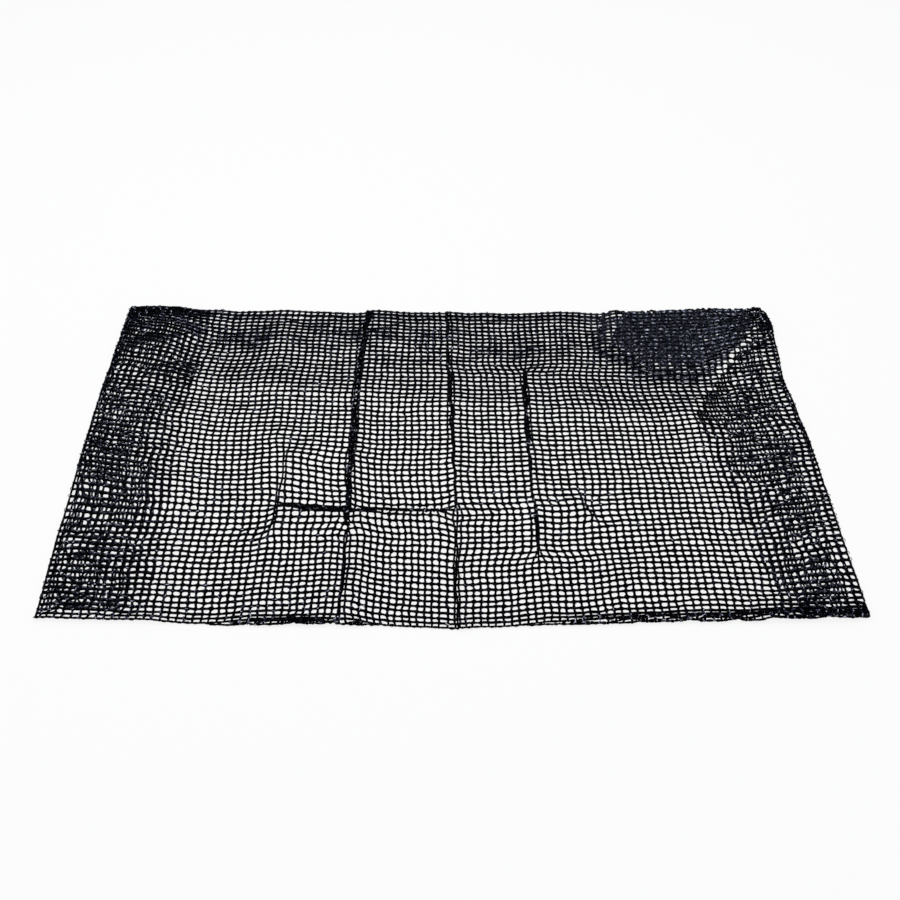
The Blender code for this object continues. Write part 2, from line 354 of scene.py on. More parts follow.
def stirred(rows, x, y, sides):
    """Sum of slow waves: amount x sin(2 pi (x cos a + y sin a) / wavelength + phase), each
    stronger by its own share near the sides."""
    by_x, by_y = np.zeros_like(x), np.zeros_like(x)
    for wavelength, degrees, phase, move_x, move_y, more in rows:
        angle = math.radians(degrees)
        run = (x * math.cos(angle) + y * math.sin(angle)) * 2.0 * math.pi / wavelength
        strength = 1.0 + more * sides
        by_x += strength * move_x * np.sin(run + phase)
        by_y += strength * move_y * np.sin(run + 2.0 * phase + 1.0)
    return by_x, by_y


# ---------------------------------------------------------------- folding the flat cut

class FoldLine:
    """A straight fold line in plan, with the sheet beyond it turned under."""

    def __init__(self, x, y, degrees):
        angle = math.radians(degrees)
        self.point = np.array((x, y))
        self.out = np.array((math.cos(angle), math.sin(angle)))

    def beyond(self, spot):
        """Distance beyond the line: (spot - point) dot out."""
        return (spot - self.point) @ self.out

    def mirrored(self, spot):
        """The spot reflected in the line, less the ARC that the turned edge uses up."""
        return spot - (2.0 * self.beyond(spot) - ARC)[..., None] * self.out

    def clip(self, corners, inside):
        """The part of a convex outline on one side of the line."""
        side = -1.0 if inside else 1.0
        kept = []
        for here, after in zip(corners, corners[1:] + corners[:1]):
            a, b = side * self.beyond(here), side * self.beyond(after)
            if a >= 0.0:
                kept.append(here)
            if a * b < 0.0:
                kept.append(here + (after - here) * (a / (a - b)))
        return kept


def sides_of(corners):
    """Each side of a convex outline: a point on it and its outward direction."""
    centre = sum(corners) / len(corners)
    sides = []
    for start, end in zip(corners, corners[1:] + corners[:1]):
        along = unit(end - start)
        away = np.array((along[1], -along[0]))
        sides.append((start, away if away @ (start - centre) > 0.0 else -away))
    return sides


def fold_up(corners, lines):
    """Folds an outline along each line in turn, and keeps each line with its flap's sides."""
    outline = [np.array(corner) for corner in corners]
    folds = []
    for row in lines:
        line = FoldLine(*row)
        flap = [line.mirrored(corner) for corner in line.clip(outline, inside=False)]
        folds.append((line, sides_of(flap)))
        outline = line.clip(outline, inside=True)
    return folds


FOLDS = fold_up(CUT, FOLD_LINES)
WEDGE_SIDES = sides_of([np.array(corner) for corner in WEDGE])


def outside(spot, sides):
    """How far a spot is outside a convex outline, negative inside."""
    return np.max([(spot - start) @ away for start, away in sides], axis=0)


def thickness(spot, count):
    """Height from the lowest layer's middle to the top one's: the sum of the lifts."""
    return sum((lift(spot, number) for number in range(count)), np.zeros(spot.shape[:-1]))


def settled(spot, number):
    """Where a spot ends up in plan when the folds from this number on have been made."""
    for line, _ in FOLDS[number:]:
        spot = np.where((line.beyond(spot) > ARC / 2)[..., None], line.mirrored(spot), spot)
    return spot


def lift(spot, number):
    """One fold's lift: 1 over its flap, easing to 0 beyond it, times the flap's thickness.
    The corner's flaps end where the wedge does."""
    line, sides = FOLDS[number]
    gap = outside(spot, sides)
    near = gap < CLEARANCE + EASE
    found = np.zeros(gap.shape)
    if near.any():
        here, gap = spot[near], gap[near]
        if number < BACK:
            gap = np.maximum(gap, outside(settled(here, number + 1), WEDGE_SIDES))
        cover = ease(1.0 - (gap - CLEARANCE) / EASE)
        found[near] = cover * (thickness(line.mirrored(here), number) + LAYER_STEP)
    return found


def folded(spot, height, number):
    """Inside the line a point is lifted. Round it, it follows half a circle whose radius is
    half a layer plus its height. Beyond it, it is mirrored and turned upside down."""
    line = FOLDS[number][0]
    beyond = line.beyond(spot)
    inner = beyond <= 0.0
    flat = beyond >= ARC
    turn = math.pi * np.clip(beyond / ARC, 0.0, 1.0)
    radius = LAYER_STEP / 2 + height
    foot = spot - beyond[..., None] * line.out
    middle = thickness(foot + line.out * ARC, number) + LAYER_STEP / 2
    bent = foot + (radius * np.sin(turn))[..., None] * line.out
    place = np.where(flat[..., None], line.mirrored(spot), bent)
    place = np.where(inner[..., None], spot, place)
    raised = np.where(flat, thickness(spot, number) - height, middle + radius * np.cos(turn))
    return place, np.where(inner, height + lift(spot, number), raised)


def under_sheen(flat):
    """How much painted sheen the net gets: 0 on top, and each fold's share beyond it, where the
    net is turned under.
    """
    spot, under = flat, np.zeros(flat.shape[:-1])
    for (line, _), share in zip(FOLDS, SHEEN_SHOWS):
        beyond = line.beyond(spot)
        under = np.maximum(under, share * ease(beyond / (2.0 * ARC)))
        spot = np.where((beyond > ARC / 2)[..., None], line.mirrored(spot), spot)
    tucked = ease(-outside(spot, WEDGE_SIDES) / TUCKED_FADE)
    return np.maximum(under, TUCKED_SHEEN * tucked)


# ---------------------------------------------------------------- pleats, humps and bows

def across_pleat(spot, from_x, from_y, to_x, to_y, bow):
    """Signed distance from a pleat's bowed crest, how much of the pleat is left near its
    ends, and the direction across it."""
    start, end = np.array((from_x, from_y)), np.array((to_x, to_y))
    length = np.linalg.norm(end - start)
    along = (end - start) / length
    away = np.array((along[1], -along[0]))
    share = ((spot - start) @ along) / length
    crest = bow * np.sin(math.pi * np.clip(share, 0.0, 1.0))
    run = share * length + from_x
    wander = sum(amount * np.sin(run / wave) for amount, wave in PLEAT_WANDER)
    ends = ease(share * length / PLEAT_END) * ease((1.0 - share) * length / PLEAT_END)
    return (spot - start) @ away - crest - wander, ends, away


def pleated(spot):
    """Pinches the net at each crest, so that it doubles back on itself there. A point moves
    towards the crest by amount x tanh(d / step) x exp(-|d| / reach). The net climbs as an
    eased step from one side of the crest to the other, and comes down again beside it."""
    moved = spot.copy()
    raised = np.zeros(spot.shape[:-1])
    for *line, height, half, drawn, reach in PLEATS:
        aside, ends, away = across_pleat(spot, *line)
        pull = np.tanh(aside / (DRAW_STEP * half)) * np.exp(-np.abs(aside) / reach)
        moved -= (drawn * ends * pull)[..., None] * away
        climb = ease((aside / half + 1.0) / 2.0) * (1.0 - ramp(aside, half, PLEAT_FALL))
        raised = np.maximum(raised, height * ends * climb)
    return moved, raised


def swell(spot):
    """Soft humps: rise x nearness, the highest one."""
    highest = np.zeros(spot.shape[:-1])
    for *place, rise in SWELLS:
        highest = np.maximum(highest, rise * nearness(spot[..., 0], spot[..., 1], *place))
    return highest


def rumpled(x):
    """How rumpled the net is: not at all in the middle, fully near its left and right."""
    return ramp(np.abs(x), *RUMPLED_FROM)


def rumples(spot):
    """Small ups and downs near the sides: RUMPLE x (1 + the sines of three slanting waves),
    and none below 0."""
    x, y = spot[..., 0], spot[..., 1]
    waves = sum(np.sin(x / by_x + y / by_y + phase) for by_x, by_y, phase in RUMPLES)
    return RUMPLE * rumpled(x) * np.maximum(1.0 + waves, 0.0)


def bowed(spot):
    """Moves the outline by its bow, in full near the edges and not at all in the middle."""
    x, y = spot[..., 0], spot[..., 1]
    side = ease(np.abs(x) / SIDE_BOW_AT)
    end = ease(np.abs(y) / END_BOW_AT)
    by_x = np.where(x < 0.0, read_off(SIDE_BOW, 1, y), read_off(SIDE_BOW, 2, y))
    by_y = np.where(y < 0.0, read_off(FRONT_BOW, 1, x), read_off(BACK_BOW, 1, x))
    at_x, at_y, reach, pull_x, pull_y = ROUNDED
    near = nearness(x, y, at_x, at_y, reach, reach)
    return np.stack((x + side * by_x + near * pull_x, y + end * by_y + near * pull_y), axis=-1)


def laid(flat):
    """Where a point of the flat cut lies: folded along each line, pleated, raised, bowed."""
    spot, height = flat, np.zeros(flat.shape[:-1])
    for number in range(len(FOLDS)):
        spot, height = folded(spot, height, number)
    spot, raised = pleated(spot)
    height = height + raised + swell(spot) + rumples(spot) + CORD_ACROSS + CORD_GAP
    spot = bowed(spot) + np.array(CENTRE)
    return np.concatenate((spot, height[..., None]), axis=-1)


def faced(flat):
    """At a point of the cut: its place, the stretch along x and y, and the net's normal,
    which is the cross product of the two directions measured over a small step."""
    step = 0.0002
    along_x = (laid(flat + (step, 0.0)) - laid(flat - (step, 0.0))) / (2.0 * step)
    along_y = (laid(flat + (0.0, step)) - laid(flat - (0.0, step))) / (2.0 * step)
    return laid(flat), along_x, along_y, unit(np.cross(along_x, along_y))


# ---------------------------------------------------------------- the lattice on the cut

def smile(x, y):
    """Rows curve towards the back at both sides: amount x (distance from the middle)^power."""
    return sum(
        amount * ramp(y, start, over) * np.clip(side * x / SMILE_AT, 0.0, SMILE_HELD) ** power
        for side, amount, start, over, power in SMILES
    )


def front_share(x, count):
    """Share of the depth at each row above the hem. The rows' spacing is a running sum of 1
    less a part at the front edge, less a slow part that grows near the sides, less a part
    at the back fold near its left corner."""
    place = np.arange(count) + 0.5
    slow = ROWS_SLOWLY[0] + SLOWLY_RIGHT * ramp(x, *SLOWLY_FROM)[:, None]
    slow = slow + SLOWLY_LEFT * ramp(-x, *SLOWLY_FROM)[:, None]
    corner = ROWS_AT_CORNER[0] * ramp(-x, *CORNER_FROM)[:, None]
    pitch = 1.0 - ROWS_AT_HEM[0] * np.exp(-((place / ROWS_AT_HEM[1]) ** 2))
    pitch = pitch - slow * np.exp(-place / ROWS_SLOWLY[1])
    pitch = pitch - corner * np.exp(-(((count - place) / ROWS_AT_CORNER[1]) ** 2))
    total = np.concatenate((np.zeros((len(x), 1)), np.cumsum(pitch, axis=1)), axis=1)
    return total / total[:, -1:]


def side_share(count, tight, narrow):
    """Share of the width at each column. Columns are closer together at the left fold, and
    beside the long pleats by as much as these are going to stretch them. The outermost one
    on the right is narrow, and the next few give it back."""
    place = np.arange(count) + 0.5
    left, right = FOLD_LINES[LEFT][0], FOLD_LINES[RIGHT][0]
    x = left + (right - left) * place / count
    pitch = 1.0 - tight * np.exp(-((place / FOLD_CROWDS) ** 2))
    pitch = pitch - narrow * np.exp(-(((count - place) / OUTERMOST) ** 2))
    given, inwards, over = GIVEN_BACK
    pitch = pitch + given * narrow * np.exp(-(((count - place - inwards) / over) ** 2))
    for number, share in LONG_PLEATS:
        from_x, _, to_x, *_, drawn, reach = PLEATS[number]
        aside = np.abs(x - (from_x + to_x) / 2)
        beside = 1.0 - np.exp(-((aside / PLEAT_CROWDS) ** 2))
        pitch = pitch - share * beside * drawn / reach * np.exp(-aside / reach)
    total = np.concatenate(([0.0], np.cumsum(pitch)))
    return total / total[-1]


def top_lattice(random):
    """Places in plan of the joints on top, (MIDDLE + 1) x (DEPTH + 1) x 2, moved by waves,
    tugs, the rows' curve and small chance shifts. Fold lines and the front edge hold."""
    apex_left = FOLD_LINES[LEFT][0] - ARC / 2
    apex_right = FOLD_LINES[RIGHT][0] + ARC / 2
    apex_back = FOLD_LINES[BACK][1] + ARC / 2
    front = CUT[0][1] + CORD_ACROSS
    column, row = np.indices((MIDDLE + 1, DEPTH + 1))
    crowded = ramp(row / DEPTH, *CROWDED_FROM)
    share = crowded * side_share(MIDDLE, *COLUMNS_BACK)[:, None]
    share = share + (1.0 - crowded) * side_share(MIDDLE, *COLUMNS_FRONT)[:, None]
    x = apex_left + (apex_right - apex_left) * share
    across = x[:, HEM]
    rolled = read_off(ROLLED, 1, across)[:, None]
    wave, step, amount, chance = HEM_WAVE
    bunched = np.sin(across[:, None] / wave + step * np.arange(HEM))
    bunched = amount * bunched + random.normal(0.0, chance, (MIDDLE + 1, HEM))
    hem = np.maximum(front + rolled * (np.arange(HEM) + bunched) / HEM, front)
    above = front + rolled + (apex_back - front - rolled) * front_share(across, DEPTH - HEM)
    y = np.concatenate((hem, above), axis=1)
    hold_x = ease(np.minimum(column, MIDDLE - column) / HELD)
    hold_y = ease(np.minimum(row - HEM, DEPTH - row) / HELD)
    by_x, by_y = stirred(WAVES, x, y, rumpled(x))
    for *place, move_x, move_y in TUGS:
        near = nearness(x, y, *place)
        by_x += move_x * near
        by_y += move_y * near
    by_y += smile(x, y) * ease((DEPTH - row) / SMILE_ENDS) * (row > HEM)
    chance = random.normal(0.0, TOP_SHIFT, (2, *x.shape))
    chance = chance * (1.0 + TOP_SHIFT_SIDES * rumpled(x))
    return np.stack((x + hold_x * (by_x + chance[0]), y + hold_y * (by_y + chance[1])), axis=-1)


def drawn_lattice(random):
    """Places of all the joints on the flat cut, COLUMNS x ROWS x 2. Beyond a fold, a joint
    follows the one that it lies under, mirrored, and drifts from it by slow waves."""
    column, row = np.indices((COLUMNS, ROWS))
    right = LEFT_MARGIN + MIDDLE
    past_left = np.clip(LEFT_MARGIN - column, 0, None)
    past_right = np.clip(column - right, 0, None)
    past_back = np.clip(row - DEPTH, 0, None)
    over = np.where(past_left > 0, past_left, column - LEFT_MARGIN)
    over = np.where(past_right > 0, MIDDLE - past_right, over)
    spot = top_lattice(random)[over, DEPTH - np.abs(row - DEPTH)]
    x, y = spot[..., 0], spot[..., 1]

    side = read_off(LEFT_LOOSE, 1, past_left.astype(float))
    side = side * (1.0 - LEFT_CALM[0] * ramp(y, *LEFT_CALM[1:]))
    edge = LEFT_EDGE[0] * (past_left == 1) * ramp(y, *LEFT_EDGE[1:3])
    side = side + edge * ramp(-y, -LEFT_EDGE[3], LEFT_EDGE[4])
    narrow = 1.0 + RIGHT_NARROW[0] * ramp(-y, *RIGHT_NARROW[1:])
    side = side + read_off(RIGHT_LOOSE, 1, past_right * narrow)
    back = read_off(BACK_LOOSE, 1, past_back.astype(float))
    back_x, back_y = stirred(DRIFTS, x, y, rumpled(x))
    side_x, side_y = stirred(DRIFTS, x + SIDE_APART, y, rumpled(x))
    side_x = side_x + SIDE_DRIFT[0] * np.where(past_left > 0, 1.0, -1.0)
    side_y = SIDE_ROWS * side_y + np.where(past_left > 0, SIDE_DRIFT[1], SIDE_DRIFT[2])
    past = past_left + past_right + past_back
    settled = SETTLED * np.clip(past / SETTLED_OVER, 0.0, 1.0)
    lowest = (past_left > 0) & (past_back == 0)  # the left flap, where it lies under others
    depth = 1.0 + ((past_left + past_right) > 0) * (past_back > 0)
    depth = depth + lowest * sum(ramp(y, *row) for row in LOWER_FROM)
    settled = settled * depth
    chance = random.normal(0.0, 1.0, (2, COLUMNS, ROWS))
    by_x = back * back_x + side * side_x
    by_x = by_x + chance[0] * (BACK_SHIFT * back + SIDE_SHIFT[0] * side)
    by_y = back * back_y + side * side_y + settled
    by_y = by_y + chance[1] * (BACK_SHIFT * back + SIDE_SHIFT[1] * side)
    by_y = np.where((row <= HEM) & (by_y < 0.0), 0.0, by_y)
    spot = spot + np.stack((by_x, by_y), axis=-1)

    for past, number in ((past_back, BACK), (past_left, LEFT), (past_right, RIGHT)):
        line = FOLDS[number][0]
        spot = np.where((past > 0)[..., None], line.mirrored(spot), spot)
    return spot


def spaced(places, axis):
    """Distance from each joint to the nearer of its two neighbours along one axis."""
    gap = np.linalg.norm(np.diff(places, axis=axis), axis=-1)
    ends = [(0, 0), (0, 0)]
    ends[axis] = (1, 1)
    padded = np.pad(gap, ends, constant_values=1.0)
    if axis == 0:
        return np.minimum(padded[:-1], padded[1:])
    return np.minimum(padded[:, :-1], padded[:, 1:])


def neighbour(kept, step_x, step_y):
    """Whether the joint one step away is there."""
    padded = np.pad(kept, 1)
    columns, rows = kept.shape
    return padded[1 + step_x : 1 + step_x + columns, 1 + step_y : 1 + step_y + rows]


# ---------------------------------------------------------------- joints and cords

CORNERS = ((1, 1), (-1, 1), (-1, -1), (1, -1))  # of a joint: which way along x and along y
TOP, INSIDE, UNDER = 0, 1, 2
LEVELS = ((TOP, JOINT_TOP, 1.0), (INSIDE, 1.0, 0.0), (UNDER, JOINT_TOP, -1.0))  # reach, rise
LEAST_STRETCH = 0.6  # of the net at a joint, so that a joint in a pinched pleat stays small
RING = 6  # points round a cord
RING_STATIONS = (0.0035, 0.0066)  # of a cord's two rings, along the knit pattern
TOP_KNIT = ((0.3, 0.0), (0.2, 0.0), (0.2, 0.002), (0.3, 0.002))  # at a joint's flat faces
UNDER_KNIT = ((0.8, 0.0), (0.7, 0.0), (0.7, 0.002), (0.8, 0.002))
END_REACH = (0.0003, 0.0011)  # of a cut end: at least, and up to so much more
END_NARROWED = 0.55
END_KNIT = (0.0, 0.002)


def met_between(one, other):
    """The six points between two of a joint's corners that a cord meets, as (corner, level)
    pairs in the order of a ring's points: side, top, top, side, underside, underside."""
    there = [(other, level) for level in (TOP, INSIDE, UNDER)]
    return ((one, INSIDE), (one, TOP), *there, (one, UNDER))


EAST, WEST = met_between(0, 3), met_between(1, 2)
NORTH, SOUTH = met_between(0, 1), met_between(3, 2)
WAYS_OUT = (
    # where a cord leaves a joint, the step to the next joint, which way its faces are wound
    (EAST, (1, 0), True),
    (WEST, (-1, 0), True),
    (NORTH, (0, 1), False),
    (SOUTH, (0, -1), False),
)


def joint_points(flat, places, random):
    """Twelve points round each joint, COLUMNS x ROWS x corner x level x 3. The inside points
    stand at the four mesh corners, and the top and underside points nearer the middle."""
    _, along_x, along_y, _ = faced(flat)
    ways = []
    for axis in (0, 1):
        way = unit(np.gradient(flat, axis=axis))
        stretch = np.linalg.norm(way[..., :1] * along_x + way[..., 1:] * along_y, axis=-1)
        half = np.minimum(JOINT_HALF, JOINT_SHARE * spaced(places, axis))
        ways.append(way * (half / np.maximum(stretch, LEAST_STRETCH))[..., None])
    size = random.normal(1.0, UNEVEN_JOINT, flat.shape[:2])
    rise = JOINT_RISE * np.clip(random.normal(1.0, UNEVEN_RISE, flat.shape[:2]), *RISE_LIMITS)
    found = np.empty((*flat.shape[:2], 4, 3, 3))
    for corner, (sign_a, sign_b) in enumerate(CORNERS):
        for level, share, up in LEVELS:
            reach = (share * size)[..., None]
            spot = flat + reach * (sign_a * ways[0] + sign_b * ways[1])
            place, _, _, normal = faced(spot)
            found[:, :, corner, level] = place + (up * rise)[..., None] * normal
    return found


def cord_rings(flat, axis, random):
    """Two rings of six points on each cord between neighbouring joints, and each ring's share
    of painted sheen, where the net is turned under. A ring's middle stands on the straight line
    between the joints, a little off it by chance, and its points stand round it at the radius
    times cos and sin of 0, 60 ... 300 degrees."""
    if axis == 0:
        start, end = flat[:-1], flat[1:]
    else:
        start, end = flat[:, :-1], flat[:, 1:]
    length = np.linalg.norm(end - start, axis=-1)
    way = unit(end - start)
    aside = np.stack((-way[..., 1], way[..., 0]), axis=-1)
    rings, middles, under = [], [], []
    bend = random.normal(0.0, CORD_BEND, length.shape)
    for share in (RING_AT, 1.0 - RING_AT):
        chance = random.normal(0.0, CORD_WANDER, length.shape)
        spot = start + (end - start) * share + (bend + chance)[..., None] * aside
        middles.append(faced(spot))
        under.append(under_sheen(spot))
    along = unit(middles[1][0] - middles[0][0])
    even = random.normal(1.0, UNEVEN_CORD, length.shape) * bulk((start + end) / 2.0)
    for place, _, _, normal in middles:
        side = unit(np.cross(normal, along))
        if axis == 1:
            side = -side
        up = unit(normal - (normal * along).sum(-1, keepdims=True) * along)
        uneven = np.clip(even * random.normal(1.0, UNEVEN_ALONG, length.shape), *CORD_LIMITS)
        radius = (CORD_DOWN if axis else CORD_ACROSS) * uneven
        turn = np.radians(np.arange(RING) * 360.0 / RING)
        points = (
            place[..., None, :]
            + (radius[..., None] * np.cos(turn))[..., None] * side[..., None, :]
            + (radius[..., None] * np.sin(turn))[..., None] * up[..., None, :]
        )
        rings.append(points)
    return np.stack(rings, axis=2), np.stack(under, axis=2)[..., None] * np.ones(RING)


def teased(spot):
    """How much yarn is teased out: each patch's share x nearness, the highest one, broken up
    by two slanting waves."""
    x, y = spot[..., 0], spot[..., 1]
    broken = TEASED_EVEN
    for share, by_x, by_y in TEASED_WAVES:
        broken = broken + share * np.sin(x / by_x + y / by_y)
    most = np.zeros_like(x)
    for *place, share in TEASED:
        most = np.maximum(most, share * nearness(x, y, *place))
    return most * ease(broken)


def bulk(spot):
    """Teased yarn is thicker, and so in part is the crowded net near the left edge."""
    left = LEFT_THICKER[0] * ramp(-spot[..., 0], *LEFT_THICKER[1:])
    return 1.0 + TEASED_THICKER * np.maximum(teased(spot), left)


def slack_loops(flat, random):
    """Which joints have a slack loop, and each loop's direction, lean, half length, bulge and
    share of painted sheen, which makes the loops inside the net pale painted glints. At a fold
    the loops are black and stand outwards."""
    column, row = np.indices((COLUMNS, ROWS))
    left, right = column == LEFT_MARGIN, column == LEFT_MARGIN + MIDDLE
    back = row == DEPTH
    outer = left | right | back
    on_top = (column >= LEFT_MARGIN) & (column <= LEFT_MARGIN + MIDDLE) & (row <= DEPTH)
    anywhere, at_sides, on_folds = LOOPED
    inner = anywhere + np.maximum(teased(flat), at_sides * rumpled(flat[..., 0]))
    share = np.where(outer, on_folds, inner) * on_top
    looped = random.random(share.shape) < share
    away = np.where(left, math.pi, np.where(back, math.pi / 2, 0.0))
    spread = random.normal(0.0, LOOP_SPREAD, (2, *share.shape))
    turn = np.where(outer, away + spread[0], random.random(share.shape) * 2.0 * math.pi)
    lean = LOOP_LEAN[1] + LOOP_LEAN[2] * random.random(share.shape)
    lean = np.where(outer, np.abs(spread[1]) + LOOP_LEAN[0], lean)
    half = LOOP_HALF[0] + LOOP_HALF[1] * random.random(share.shape)
    bulge = LOOP_BULGE[0] + LOOP_BULGE[1] * random.random(share.shape)
    # the last entry: 1 where a loop inside the net takes the pale painted sheen as a painted
    # glint, 0 where a loop at a fold stays black
    return looped, np.stack((turn, lean, half, bulge, np.where(outer, 0.0, 1.0)))


class Net:
    """The whole lattice: where its joints lie on the cut, which of them the cut leaves, and
    the points of every joint and cord."""

    def __init__(self, random):
        self.flat = drawn_lattice(random)
        self.places = laid(self.flat)
        cut_sides = sides_of([np.array(corner) for corner in CUT])
        inside = outside(self.flat, cut_sides) < -CUT_INSIDE
        rolled = read_off(ROLLED, 1, settled(self.flat[:, HEM], BACK)[:, 0])
        inside[:, :HEM] &= rolled[:, None] > HEM_FROM
        alone = ~(neighbour(inside, 1, 0) | neighbour(inside, -1, 0))
        turned = FOLDS[0][0].beyond(self.flat) > 0.0
        once = np.where(turned[..., None], FOLDS[0][0].mirrored(self.flat), self.flat)
        turned |= FOLDS[1][0].beyond(once) > 0.0
        tucked = outside(settled(self.flat, 0), WEDGE_SIDES) < 0.0
        column, row = np.indices(inside.shape)
        short = (row < HEM + LEFT_SHORT) | (row > DEPTH + CORNER_ROWS)
        short &= column < LEFT_MARGIN
        kept = inside & ~alone & ~short & (tucked | ~turned)
        beside = neighbour(kept, 1, 0) | neighbour(kept, -1, 0)
        self.kept = kept & (beside | neighbour(kept, 0, 1) | neighbour(kept, 0, -1))
        self.joints = joint_points(self.flat, self.places, random)
        # share of painted sheen at each joint, where the net is turned under
        self.under = under_sheen(self.flat)[..., None, None] * np.ones((4, 3))
        self.across, self.across_sheen = cord_rings(self.flat, 0, random)
        self.down, self.down_sheen = cord_rings(self.flat, 1, random)
        self.looped, self.loops = slack_loops(self.flat, random)


class Panel:
    """Collects points and faces of one mesh, with a knit coordinate at every face corner and
    a share of painted sheen at every point."""

    def __init__(self):
        self.points, self.under, self.faces, self.knit = [], [], [], []
        self.count = 0

    def add_points(self, points, under):
        """Adds an array of points and returns their numbers in the same shape."""
        flat = points.reshape(-1, 3)
        numbers = np.arange(self.count, self.count + len(flat)).reshape(points.shape[:-1])
        self.points.append(flat)
        self.under.append(np.broadcast_to(under, points.shape[:-1]).reshape(-1))
        self.count += len(flat)
        return numbers

    def add_faces(self, corners, knit=np.zeros(2)):
        """Adds faces, n x k point numbers, with n x k x 2 knit coordinates."""
        self.faces.append(corners.reshape(-1, corners.shape[-1]))
        self.knit.append(np.broadcast_to(knit, (*corners.shape, 2)).reshape(-1, 2))

    def add_tube(self, rings, stations, forward):
        """Joins n x rings x RING point numbers into n tubes. The knit coordinate is the share
        of the way round and the distance along."""
        here, after = rings[:, :-1], rings[:, 1:]
        next_here, next_after = np.roll(here, -1, axis=-1), np.roll(after, -1, axis=-1)
        around = np.arange(RING) / RING
        low, high = stations[:, :-1, None], stations[:, 1:, None]
        u0 = np.broadcast_to(around, here.shape)
        u1 = u0 + 1.0 / RING
        v0, v1 = np.broadcast_to(low, here.shape), np.broadcast_to(high, here.shape)
        corners = (here, next_here, next_after, after)
        knit = ((u0, v0), (u1, v0), (u1, v1), (u0, v1))
        if not forward:
            corners, knit = (turn[:1] + turn[:0:-1] for turn in (corners, knit))
        knit = np.stack([np.stack(pair, axis=-1) for pair in knit], axis=-2)
        self.add_faces(np.stack(corners, axis=-1), knit)

    def build(self, name, material):
        """Makes the mesh and its object, and keeps every point above the floor."""
        mesh = bpy.data.meshes.new(name)
        points = np.concatenate(self.points)
        points[:, 2] = np.maximum(points[:, 2], FLOOR_GAP)
        faces = [face for group in self.faces for face in group.tolist()]
        mesh.from_pydata(points, [], faces)
        layer = mesh.uv_layers.new(name="knit")
        layer.uv.foreach_set("vector", np.concatenate(self.knit).astype(np.float32).ravel())
        # each point's share of painted sheen, read by the material
        under = mesh.attributes.new("under_sheen", "FLOAT", "POINT")
        under.data.foreach_set("value", np.concatenate(self.under).astype(np.float32))
        mesh.shade_smooth()
        mesh.materials.append(material)
        piece = bpy.data.objects.new(name, mesh)
        bpy.context.scene.collection.objects.link(piece)
        return piece


def port(joints, which):
    """The six point numbers, or points, where a cord meets each joint."""
    corner, level = zip(*which)
    return joints[:, :, list(corner), list(level)]


def add_cut_ends(panel, net, own, chosen, first, last, random):
    """Short ends where the net was cut: the ring where a cord would start is drawn out away
    from the middle of its joint and narrowed, and closed."""
    for which, step, forward in WAYS_OUT:
        lone = chosen & ~neighbour(net.kept, *step)[first:last]
        rings = port(own, which)[lone]
        points = port(net.joints[first:last], which)[lone]
        middle = points.mean(axis=1, keepdims=True)
        out = unit(middle - net.places[first:last][lone][:, None])
        reach = END_REACH[0] + END_REACH[1] * random.random((len(points), 1, 1)) ** 2
        tips = middle + out * reach + (points - middle) * END_NARROWED
        numbers = panel.add_points(tips, net.under[first:last][lone][:, 0, :1])
        outward = step[0] + step[1] > 0
        ends = np.stack((rings, numbers) if outward else (numbers, rings), axis=1)
        panel.add_tube(ends, np.zeros((len(ends), 2)) + np.array(END_KNIT), forward)
        panel.add_faces(numbers if outward == forward else numbers[:, ::-1])


def add_slack_loops(panel, net, first, last):
    """Slack loops of yarn that stand out from some joints, most at the folds and near the
    sides. A loop's middle runs along a line by half (2 t - 1) and bulges aside by bulge x
    sin(pi t). Its four points stand round it at right angles to its path."""
    picked = np.zeros((COLUMNS, ROWS), bool)
    picked[first:last] = net.kept[first:last] & net.looped[first:last]
    # grey: 1 where the loop gets the pale painted sheen, a painted glint
    place, (turn, lean, half, bulge, grey) = net.places[picked], net.loops[:, picked]
    flat = np.zeros_like(turn)
    along = np.stack((-np.sin(turn), np.cos(turn), flat), axis=-1)[:, None]
    level = np.cos(lean)
    aside = np.stack((np.cos(turn) * level, np.sin(turn) * level, np.sin(lean)), axis=-1)
    aside = aside[:, None]
    t = np.linspace(0.0, 1.0, LOOP_STEPS)[:, None]
    half, bulge = half[:, None, None], bulge[:, None, None]
    path = place[:, None] + (0.0, 0.0, LOOP_RISE) + along * half * (2.0 * t - 1.0)
    path = path + aside * bulge * np.sin(math.pi * t)
    run = unit(along * 2.0 * half + aside * bulge * math.pi * np.cos(math.pi * t))
    cross = np.broadcast_to(np.cross(along, aside), run.shape)
    normal = np.cross(run, cross)
    turns = np.radians(np.arange(4) * 90.0)[:, None]
    points = path[:, :, None] + LOOP_RADIUS * (
        np.cos(turns) * cross[:, :, None] + np.sin(turns) * normal[:, :, None]
    )
    numbers = panel.add_points(points, grey[:, None, None])
    here, after = numbers[:, :-1], numbers[:, 1:]
    sides = (here, np.roll(here, -1, axis=-1), np.roll(after, -1, axis=-1), after)
    panel.add_faces(np.stack(sides, axis=-1))
    panel.add_faces(numbers[:, 0, ::-1])
    panel.add_faces(numbers[:, -1])


